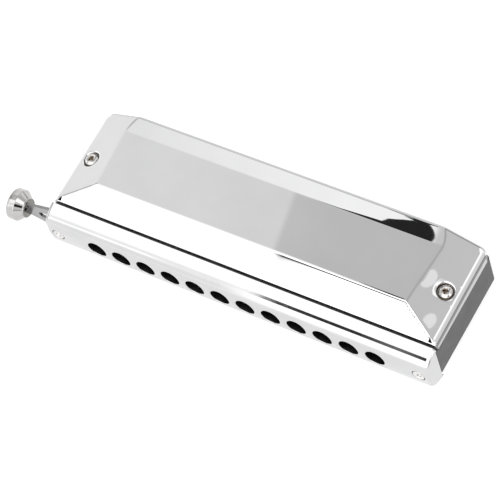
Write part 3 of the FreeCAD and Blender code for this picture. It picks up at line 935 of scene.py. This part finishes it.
def metal(name, dark, light, roughness, wear, grain, grain_scale, bump_depth, spots=(), shades=()):
    """A metal of softly varying colour and gloss, with fine lines across grain_scale's large axes."""
    material, tree, shader = new_material(name)
    shader.inputs["Metallic"].default_value = 1
    colour = ramp(tree, noise(tree, object_coordinates(tree), 90), [(0.3, dark), (0.7, light)])
    for stain in spots:
        colour = spot(tree, colour, *stain)
    for shade in shades:
        colour = shaded(tree, colour, *shade)
    tree.links.new(colour, shader.inputs["Base Color"])
    lines = noise(tree, object_coordinates(tree, grain_scale), grain, 2)
    smear = noise(tree, object_coordinates(tree), 220)
    gloss = shader_node(tree, "Math", {0: lines, 1: smear}, operation="MULTIPLY").outputs["Value"]
    matt = ramp(tree, gloss, [(0.1, roughness), (0.5, roughness + wear)])
    tree.links.new(matt, shader.inputs["Roughness"])
    bump(tree, shader, lines, 0.12, bump_depth)
    return material


def plastic(name, dark, light, roughness, grain, bump_depth):
    """A moulded plastic with a fine grain."""
    material, tree, shader = new_material(name)
    flat = object_coordinates(tree)
    colour = ramp(tree, noise(tree, flat, 160), [(0.3, dark), (0.7, light)])
    tree.links.new(colour, shader.inputs["Base Color"])
    fine = noise(tree, flat, grain, 3)
    matt = ramp(tree, fine, [(0.3, roughness), (0.7, roughness + 0.15)])
    tree.links.new(matt, shader.inputs["Roughness"])
    bump(tree, shader, fine, 0.25, bump_depth)
    return material


def grey(low, high):
    """Two neutral colours."""
    return (low, low, low * 1.01, 1), (high, high, high * 1.01, 1)


def seat_spots(radius, shade):
    """A painted shade of this radius at the middle of both screw cups, on all that stands there."""
    return [((x, cup_y, 0), (1, 1, 0), radius, shade) for x in (-cup_x, cup_x)]


def cover_chrome(name, shades):
    """The covers' mirror plating, with painted shade in the cups."""
    # Painted shade: the cups are coloured near black about the screws.
    cup_painted_shade = seat_spots(cup_radius, (0.1, 0.085, 0.07, 1))
    return metal(name, *grey(0.84, 0.87), 0.006, 0.008, 900, (1, 6, 1), 0.00000005, cup_painted_shade, shades)


def screw_nickel(name, roughness, spots):
    """Warm grey nickel plating."""
    dark = (0.62, 0.6, 0.58, 1)
    light = (0.78, 0.77, 0.76, 1)
    return metal(name, dark, light, roughness, roughness, 3000, (1, 1, 1), 0.00001, spots)


def knob_chrome():
    """The knob's turned plating, with a painted dark reflection on the hub end and painted shade in the
    stake mark.
    """
    hub_painted_reflection = (0.26, 0.245, 0.23, 1)
    dark = (0.47, 0.46, 0.455, 1)
    light = (0.54, 0.53, 0.525, 1)
    # Painted dark reflection on the hub's end face.
    hub = ((knob_hub_end, knob_line, 0), (1, 1, 1), knob_hub_radius + 0.1, hub_painted_reflection)
    # Painted shade in the stake mark. The spot is measured in Y and Z only, so it also paints a dark dot on
    # the knob's outer face.
    pit = ((0, stake_line, stake_height), (0, 1, 1), stake_radius, (0.01, 0.009, 0.008, 1))
    return metal("turned_chrome", dark, light, 0.05, 0.06, 2600, (14, 1, 1), 0.00001, [hub, pit])


# Painted shade: a dark band along the upper cover's end rims, standing in for a dark reflection there.
rim_width = 0.5
rim_stops = [(0.1, 1), (0.35, 0.3), (0.97, 0.3), (1.0, 0.62)]
rim_shade = ("X", True, body_half_length - rim_width, body_half_length, rim_stops)
# Painted shade on the rear roll of both covers, standing in for a darker reflection there.
roll_width = roll_round + 0.15
roll_stops = [(0.0, 1), (0.12, 0.6)]
roll_shade = ("Y", False, cover_rear - roll_width, cover_rear, roll_stops)
upper_chrome = cover_chrome("upper_cover_plate", [rim_shade, roll_shade])
lower_chrome = cover_chrome("lower_cover_plate", [roll_shade])
mouth_chrome = metal("mouthpiece_plate", *grey(0.61, 0.64), 0.03, 0.04, 900, (1, 6, 1), 0.000002)
# Painted shade: the bores' walls are coloured near black for the shade inside them.
bore_shade_chrome = metal("bore_wall_painted_shade", *grey(0.022, 0.045), 0.35, 0.15, 1200, (1, 1, 8), 0.00001)
turned_chrome = knob_chrome()
steel = metal("lapped_steel", *grey(0.27, 0.38), 0.2, 0.18, 1500, (1, 8, 8), 0.00001)
# Painted shade, brown, over the middle of each cover screw's head where its cross recess lies.
recess_painted_shade_radius = 0.95
recess_painted_shade = seat_spots(recess_painted_shade_radius, (0.3, 0.24, 0.18, 1))
cover_nickel = screw_nickel("cover_screw_nickel", 0.1, recess_painted_shade)
nickel = screw_nickel("nickel_screw", 0.12, ())
plate_dark = (0.66, 0.47, 0.2, 1)
plate_light = (0.78, 0.6, 0.3, 1)
brass = metal("ground_brass", plate_dark, plate_light, 0.2, 0.2, 1400, (1, 10, 1), 0.00001)
reed_dark = (0.74, 0.56, 0.26, 1)
reed_light = (0.86, 0.7, 0.4, 1)
reed_brass = metal("reed_brass", reed_dark, reed_light, 0.18, 0.15, 2600, (10, 1, 1), 0.00001)
comb_plastic = plastic("comb_plastic", *grey(0.055, 0.078), 0.42, 5200, 0.00003)
valve_dark = (0.66, 0.65, 0.58, 1)
valve_light = (0.78, 0.77, 0.7, 1)
valve_plastic = plastic("valve_film", valve_dark, valve_light, 0.3, 3000, 0.00001)
rubber = plastic("bumper_rubber", *grey(0.02, 0.035), 0.6, 6000, 0.00003)

node_materials = {
    "comb": comb_plastic,
    "upper_cover": upper_chrome,
    "lower_cover": lower_chrome,
    "cover_screws": cover_nickel,
    "mouthpiece": mouth_chrome,
    "mouthpiece_screws": nickel,
    "slide_cage": steel,
    "slide_back_plate": steel,
    "slide_bumpers": rubber,
    "slide_spring": steel,
    "slide": steel,
    "slide_knob": turned_chrome,
}
for level in ("upper_", "lower_"):
    node_materials[level + "reed_plate"] = brass
    for kind in ("draw_reeds", "blow_reeds"):
        node_materials[level + kind] = reed_brass
    for kind in ("inner_valves", "outer_valves"):
        node_materials[level + kind] = valve_plastic
for node, material in node_materials.items():
    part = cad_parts[node]
    part.data.materials.clear()
    part.data.materials.append(material)


def stands_for(piece, node, materials):
    """Give a piece its materials, and let it show in place of a CAD node."""
    for material in materials:
        piece.data.materials.append(material)
    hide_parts(node)
    return piece


upper_sheet = stands_for(cover("upper_cover_sheet", False), "upper_cover", [upper_chrome])
lower_sheet = stands_for(cover("lower_cover_sheet", True), "lower_cover", [lower_chrome])
bar = stands_for(mouthpiece(), "mouthpiece", [mouth_chrome, bore_shade_chrome])
cover_screw_set = stands_for(cover_screws(), "cover_screws", [cover_nickel])
mouthpiece_screw_set = stands_for(mouthpiece_screws(), "mouthpiece_screws", [nickel])
for piece in (upper_sheet, lower_sheet, bar, cover_screw_set, mouthpiece_screw_set):
    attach(piece, "harmonica")
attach(stands_for(knob(), "slide_knob", [turned_chrome]), "slide")

# The spring stays in place, attached to no body
spring = stands_for(slide_spring(), "slide_spring", [steel])
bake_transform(spring)


# Camera at the photograph's angle

def direction(azimuth, elevation):
    """The unit vector from the object to a viewer at these angles in degrees."""
    turn = math.radians(azimuth)
    rise = math.radians(elevation)
    return Vector((math.sin(turn) * math.cos(rise), -math.cos(turn) * math.cos(rise), math.sin(rise)))


camera_azimuth = 48.6
camera_elevation = 56.22
camera_roll = -22.51
camera_distance = 824.2
camera_focal_share = 2528.2 / 500
camera_aim_right = -6.889
camera_aim_up = -3.804

back = direction(camera_azimuth, camera_elevation)
level = Vector((math.cos(math.radians(camera_azimuth)), math.sin(math.radians(camera_azimuth)), 0))
rise = back.cross(level)
roll = math.radians(camera_roll)
right = level * math.cos(roll) + rise * math.sin(roll)
up = rise * math.cos(roll) - level * math.sin(roll)
lens = bpy.data.cameras.new("camera")
lens.sensor_width = 36
lens.lens = camera_focal_share * lens.sensor_width
lens.clip_start = 0.05
lens.clip_end = 10
camera = bpy.data.objects.new("camera", lens)
aim = to_frame(back * camera_distance + right * camera_aim_right + up * camera_aim_up)
camera.matrix_world = Matrix.Translation(aim) @ Matrix((right, up, back)).transposed().to_4x4()
bpy.context.scene.collection.objects.link(camera)
bpy.context.scene.camera = camera


# Floor

def floor():
    """A wide pale table top under the instrument."""
    half = 1.6
    gap = 0.05
    height = cad_box[0].z - gap * mm
    mesh = bpy.data.meshes.new("floor")
    corners = [(-half, -half, height), (half, -half, height), (half, half, height), (-half, half, height)]
    mesh.from_pydata(corners, [], [(0, 1, 2, 3)])
    table_top = bpy.data.objects.new("floor", mesh)
    material, tree, shader = new_material("pale_table")
    shader.inputs["Roughness"].default_value = 0.7
    colour = ramp(tree, noise(tree, object_coordinates(tree), 30), [(0.3, 0.4), (0.7, 0.42)])
    tree.links.new(colour, shader.inputs["Base Color"])
    shader.inputs["Emission Color"].default_value = (1, 1, 1, 1)
    shader.inputs["Emission Strength"].default_value = 0.7
    mesh.materials.append(material)
    bpy.context.scene.collection.objects.link(table_top)


floor()


# Studio light, given by the world: it depends on the direction alone, by how far this leads along
# the instrument, inward from the mouth side, and upward

world = bpy.data.worlds.new("studio")
bpy.context.scene.world = world
world.use_nodes = True
sky = world.node_tree


def eased(value, start, end, course="SMOOTHSTEP"):
    """A value that goes from 0 to 1 as the input goes from start to end."""
    inputs = {"Value": value, "From Min": start, "From Max": end}
    return shader_node(sky, "MapRange", inputs, interpolation_type=course).outputs["Result"]


def combined(operation, first, second):
    """A sum, difference or product, of which the second may be a number."""
    return shader_node(sky, "Math", {0: first, 1: second}, operation=operation).outputs["Value"]


def times(first, second):
    """The product of two values."""
    return combined("MULTIPLY", first, second)


def mixed(share, first, second):
    """From the first light to the second as share goes from 0 to 1. A light may be a number."""
    inputs = {0: share, 2: first, 3: second}
    return shader_node(sky, "Mix", inputs, data_type="FLOAT", clamp_factor=True).outputs[0]


def toned(value, stops):
    """A light that goes through the stops, each a place from -1 to 1 and a strength."""
    light = stops[0][1]
    for previous, stop in zip(stops, stops[1:]):
        light = mixed(eased(value, previous[0], stop[0]), light, stop[1])
    return light


def line_through(value, stops):
    """A line that runs straight from stop to stop, each a place and a height."""
    height = stops[0][1]
    for previous, stop in zip(stops, stops[1:]):
        height = mixed(eased(value, previous[0], stop[0], "LINEAR"), height, stop[1])
    return height


def between(value, low, high, edge):
    """A share that is 1 from low to high and eases to 0 over edge outside them."""
    return times(eased(value, low - edge, low), eased(value, high + edge, high))


def lamp(centre_along, centre_inward, half_along, half_inward):
    """A share that is 1 inside a small round lamp."""
    first = combined("MULTIPLY", combined("SUBTRACT", along, centre_along), 1 / half_along)
    second = combined("MULTIPLY", combined("SUBTRACT", inward, centre_inward), 1 / half_inward)
    square = combined("ADD", times(first, first), times(second, second))
    return eased(square, 1.15, 0.85)


heading = shader_node(sky, "TexCoord", {}).outputs["Generated"]
along, inward, upward = shader_node(sky, "SeparateXYZ", {"Vector": heading}).outputs

# The room: bright towards the mouth side, greyer overhead and behind, dim low down
front_light = toned(along, [(-0.88, 1.75), (-0.8, 0.7), (-0.64, 0.7), (-0.55, 1.75), (0.5, 1.75),
                            (0.68, 1.0)])
left_share = times(eased(along, -0.405, -0.425), eased(inward, -0.4, -0.52))
left_share = times(left_share, eased(along, -0.6, -0.52))
front_light = mixed(left_share, front_light, toned(inward, [(-0.85, 1.17), (-0.7, 1.3), (-0.56, 1.32)]))
glint = times(between(along, -0.6, -0.452, 0.01), between(inward, -0.71, -0.635, 0.02))
front_light = mixed(glint, front_light, 1.75)
middle_light = toned(along, [(-0.9, 0.9), (-0.8, 0.5), (-0.6, 0.5), (-0.5, 0.86), (-0.37, 1.03),
                             (-0.357, 1.0), (-0.354, 0.64), (-0.25, 0.62), (-0.12, 0.42), (0.1, 0.42),
                             (0.24, 0.62), (0.66, 1.0), (0.73, 2.2)])
rear_light = toned(along, [(-0.95, 0.9), (-0.75, 0.84), (-0.45, 0.775), (-0.4105, 0.74), (-0.4075, 0.59),
                           (-0.39, 0.56), (-0.33, 0.56), (-0.2, 0.46), (0.1, 0.46), (0.22, 0.6),
                           (0.315, 0.61), (0.35, 1.25), (0.5, 1.2), (0.6, 0.78), (0.8, 0.72)])
light = mixed(eased(inward, -0.13, -0.105), front_light, middle_light)
light = mixed(eased(inward, 0.27, 0.31), light, rear_light)
roll_light = times(eased(inward, 0.42, 0.5), between(along, -0.5, -0.15, 0.1))
light = mixed(roll_light, light, 1.15)
low_light = toned(along, [(-0.6, 1.1), (-0.45, 1.17), (-0.38, 1.5), (0.0, 1.2), (0.5, 0.7), (0.85, 0.36)])
light = mixed(eased(upward, 0.02, 0.28), low_light, light)

# The dark card that the flare mirrors, round at one end and pointed at the other
off_middle = combined("SUBTRACT", inward, 0.2)
round_end = combined("ADD", along, combined("MULTIPLY", times(off_middle, off_middle), 0.065))
points = line_through(inward, [(-0.1, -0.39), (-0.062, -0.385), (-0.039, -0.3785), (-0.034, -0.371),
                               (0.006, -0.365), (0.143, -0.374), (0.235, -0.376), (0.25, -0.382),
                               (0.28, -0.392), (0.295, -0.405)])
card = times(eased(round_end, -0.3552, -0.356), eased(combined("SUBTRACT", along, points), -0.0004, 0.0004))
card = times(card, between(inward, -0.11, 0.29, 0.006))
card = times(card, eased(upward, 0.3, 0.4))
light = mixed(card, light, 0.02)

# The dark bar that the mouthpiece's crown and the covers' front bends mirror
front_bar = times(between(along, -0.405, -0.3, 0.006), between(inward, -0.595, -0.44, 0.01))
front_bar = times(front_bar, eased(upward, 0.4, 0.5))
light = mixed(front_bar, light, toned(along, [(-0.37, 0.04), (-0.352, 0.25), (-0.342, 0.02)]))

# The dark bar beside it that the knob's cone mirrors
side_bar = times(between(along, 0.72, 0.85, 0.03), between(inward, -0.56, -0.3, 0.03))
side_bar = times(side_bar, between(upward, 0.28, 0.56, 0.03))
light = mixed(side_bar, light, 0.0)

# Two small lamps that the right end panel mirrors
for place in ((0.2840, 0.3405, 0.0028, 0.0038), (0.2935, 0.3266, 0.0024, 0.0034)):
    light = mixed(lamp(*place), light, 0.86)
background = sky.nodes["Background"]
sky.links.new(light, background.inputs["Strength"])
background.inputs["Color"].default_value = (1, 1, 1, 1)
bpy.context.scene.view_settings.view_transform = "Standard"
